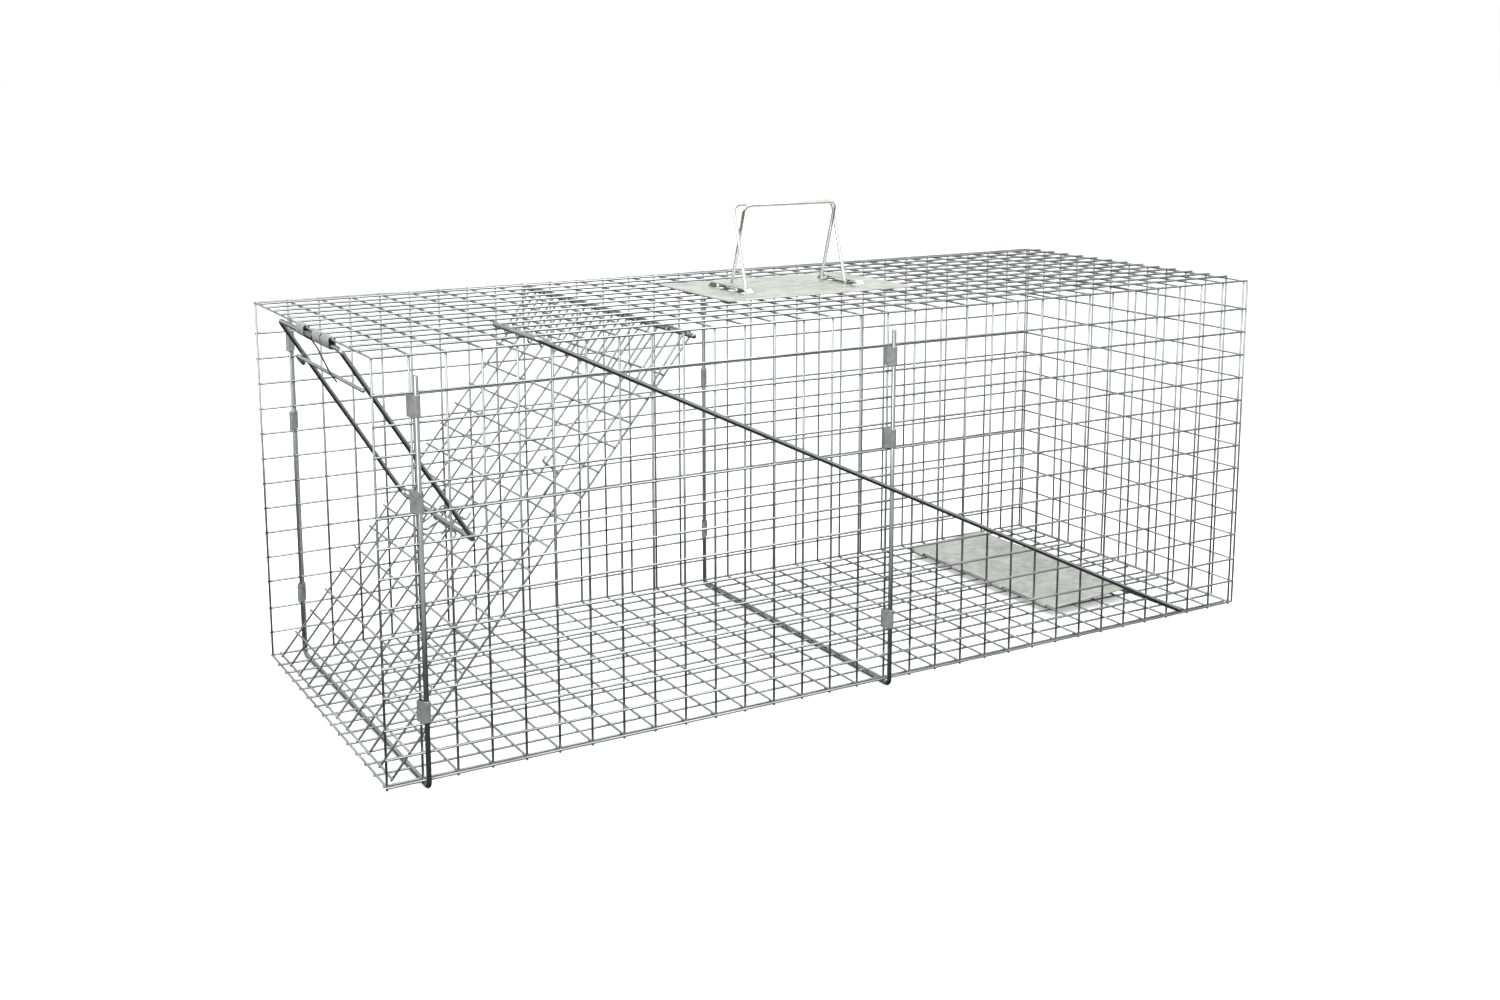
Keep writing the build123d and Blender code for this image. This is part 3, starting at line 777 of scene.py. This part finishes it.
# %% Guard plate with pressed ribs
plate_bottom = height + 2 * wire_r + contact
plate_top = plate_bottom + sheet
handle_x, handle_y = 555.0, 208.0
plate_long, plate_wide = 246.0, 163.0
rib_off, rib_wide, rib_half, rib_ramp = 74.0, 10.0, 45.0, 8.0
rib_high = plate_top + 4.4 + sheet / 2
plate_mid = (plate_bottom + plate_top) / 2
plate_shape = new_shape()


def flat_strip(x0, x1, y0, y1):
    """A flat piece of the plate between two corners, measured from the plate's middle."""
    line = [at(handle_x + x0 + (x1 - x0) * k / 4, handle_y + y0, plate_mid) for k in range(5)]
    add_strip(plate_shape, line, sheet, Vector((0, (y1 - y0) * MM, 0)))


half_long, half_wide = plate_long / 2, plate_wide / 2
slot_half = rib_half - sheet
slot_in, slot_out = rib_off - rib_wide / 2, rib_off + rib_wide / 2
flat_strip(-half_long, half_long, slot_half, half_wide)
flat_strip(-half_long, half_long, -half_wide, -slot_half)
flat_strip(-half_long, -slot_out, -slot_half, slot_half)
flat_strip(-slot_in, slot_in, -slot_half, slot_half)
flat_strip(slot_out, half_long, -slot_half, slot_half)
for hand in (-1, 1):
    left = handle_x + hand * rib_off - rib_wide / 2
    rib = [(-rib_half - 1, plate_mid), (-rib_half + 1, plate_mid + 0.5), (-rib_half + rib_ramp, rib_high)]
    rib += [(-a, b) for a, b in reversed(rib)]
    rib_line = rounded([at(left, handle_y + a, b) for a, b in rib], [2.0, 3.0, 3.0, 2.0], 5)
    add_strip(plate_shape, rib_line, sheet, Vector((rib_wide * MM, 0, 0)))
toe_z = height - 2 * wire_r - 0.4 - sheet / 2
hook_wide, hook_toe = 12, 5.4
for wire, hand in ((13, 1), (19, -1)):
    leg_x = cross_xs[wire] + hand * (wire_r + 0.8 + sheet / 2)
    for cell in (5, 8):
        y = (cell + 0.5) * roof_pitch - hook_wide / 2
        hook = [at(leg_x, y, plate_bottom), at(leg_x, y, toe_z), at(leg_x - hand * hook_toe, y, toe_z)]
        add_strip(plate_shape, rounded(hook, [1.2], 5), sheet, Vector((0, hook_wide * MM, 0)))
finish_piece("guard_plate_sheet", plate_shape, "cage", ["handle_plate"], plate_sheet, 0.25)

# %% Two wire bails
bail_r, bail_air = 2.0, 0.2
bail_z = plate_top + bail_r + bail_air
bail_rise, bail_foot, bail_lean, foot_end = 92.0, 21.0, 8.0, 80.0
grip_z = bail_z + bail_rise
for name, half, hand in (("near_handle_bail", 66.0, -1), ("far_handle_bail", 60.5, 1)):
    foot_y, grip_y = handle_y + hand * bail_foot, handle_y - hand * bail_lean
    rod_piece(
        name.replace("_bail", "_wire"),
        [
            at(handle_x - foot_end, foot_y, bail_z), at(handle_x - half, foot_y, bail_z),
            at(handle_x - half, grip_y, grip_z), at(handle_x + half, grip_y, grip_z),
            at(handle_x + half, foot_y, bail_z), at(handle_x + foot_end, foot_y, bail_z),
        ],
        [2.5, 8.0, 8.0, 2.5], bail_r, "near_bail" if hand < 0 else "far_bail", name,
        handle_wire,
    )

# %% [markdown]
# ## Floor, light and camera
#
# A plain studio: a pale floor that glows a little, as a light table does, so that shadows stay
# faint; a white room; one large soft light from above and one from the left. Thin metal takes
# nearly all its looks from what it mirrors. So the room is white above and goes dark below, and
# the floor is kept out of the reflections: each wire then gets a light upper line and a dark
# underside, which makes it read as round. The Standard view keeps the floor a clean white, where
# the default film-like view would turn it grey.

# %% Pale floor
def studio_floor():
    made, tree = empty_material("matt_white_studio_floor")
    place = node(tree, "ShaderNodeTexCoord")
    mottle = node(tree, "ShaderNodeTexNoise", None, {
        "Vector": place.outputs["Object"], "Scale": per_metre(700), "Detail": 2.0})
    tint = node(tree, "ShaderNodeMix", {"data_type": "RGBA"}, {
        "Factor": mottle.outputs["Fac"], "A": linear("fbfbfb"), "B": linear("ffffff")})
    skin = node(tree, "ShaderNodeBsdfPrincipled", None, {
        "Base Color": tint.outputs["Result"], "Roughness": 0.9, "Specular IOR Level": 0.1,
        "Emission Color": linear("ffffff"), "Emission Strength": 0.35})
    node(tree, "ShaderNodeOutputMaterial", None, {"Surface": skin.outputs["BSDF"]})
    return made


reach = 60.0
floor_corners = [(-reach, -reach), (reach, -reach), (reach, reach), (-reach, reach)]
floor_mesh = bpy.data.meshes.new("studio_floor")
floor_mesh.from_pydata([(x, y, cad_low.z) for x, y in floor_corners], [], [(0, 1, 2, 3)])
floor_mesh.materials.append(studio_floor())
floor = bpy.data.objects.new("studio_floor", floor_mesh)
bpy.context.scene.collection.objects.link(floor)
floor.visible_glossy = False

# %% White room and soft lights
bpy.context.scene.view_settings.view_transform = "Standard"
room = bpy.data.worlds.new("white_room")
room.use_nodes = True
room.node_tree.nodes.clear()
looking = node(room.node_tree, "ShaderNodeTexCoord")
way = node(room.node_tree, "ShaderNodeSeparateXYZ", None, {"Vector": looking.outputs["Generated"]})
height_of_ray = node(room.node_tree, "ShaderNodeMapRange", None, {
    "Value": way.outputs["Z"], "From Min": -1.0})
walls = node(room.node_tree, "ShaderNodeValToRGB", None, {"Fac": height_of_ray.outputs["Result"]})
walls.color_ramp.elements[0].color = linear("363636")
walls.color_ramp.elements[1].color = linear("ffffff")
for level, grey in ((0.3, "585858"), (0.42, "626262"), (0.488, "ffffff")):
    stop = walls.color_ramp.elements.new(level)
    stop.color = linear(grey)
sky = node(room.node_tree, "ShaderNodeBackground", None, {"Color": walls.outputs["Color"], "Strength": 1.0})
node(room.node_tree, "ShaderNodeOutputWorld", None, {"Surface": sky.outputs["Background"]})
bpy.context.scene.world = room


def soft_light(name, place, aim, size, power):
    lamp = bpy.data.lights.new(name, "AREA")
    lamp.shape = "SQUARE"
    lamp.size = size
    lamp.energy = power
    made = bpy.data.objects.new(name, lamp)
    made.location = place
    made.rotation_mode = "QUATERNION"
    made.rotation_quaternion = (aim - place).to_track_quat("-Z", "Y")
    bpy.context.scene.collection.objects.link(made)


centre = (cad_low + cad_high) / 2
soft_light("overhead_softbox", centre + Vector((0.2, -0.6, 2.2)), centre, 1.8, 45)
soft_light("left_softbox", centre + Vector((-2.0, -1.6, 1.2)), centre, 1.2, 25)

# %% Camera
camera_data = bpy.data.cameras.new("camera")
camera_data.sensor_width = 36.0
camera_data.lens = 39.83
camera_data.shift_y = -0.1
camera_data.dof.use_dof = False
camera = bpy.data.objects.new("camera", camera_data)
turn, lift = math.radians(-30.31), math.radians(9.6)
back = Vector((math.sin(turn) * math.cos(lift), -math.cos(turn) * math.cos(lift), math.sin(lift)))
aim = centre + Vector((-0.0157, 0.025, 0.0825))
camera.location = aim + back * 1.9213
camera.rotation_mode = "QUATERNION"
camera.rotation_quaternion = (-back).to_track_quat("-Z", "Y")
bpy.context.scene.collection.objects.link(camera)
bpy.context.scene.camera = camera
print("camera at", [round(v, 3) for v in camera.location])
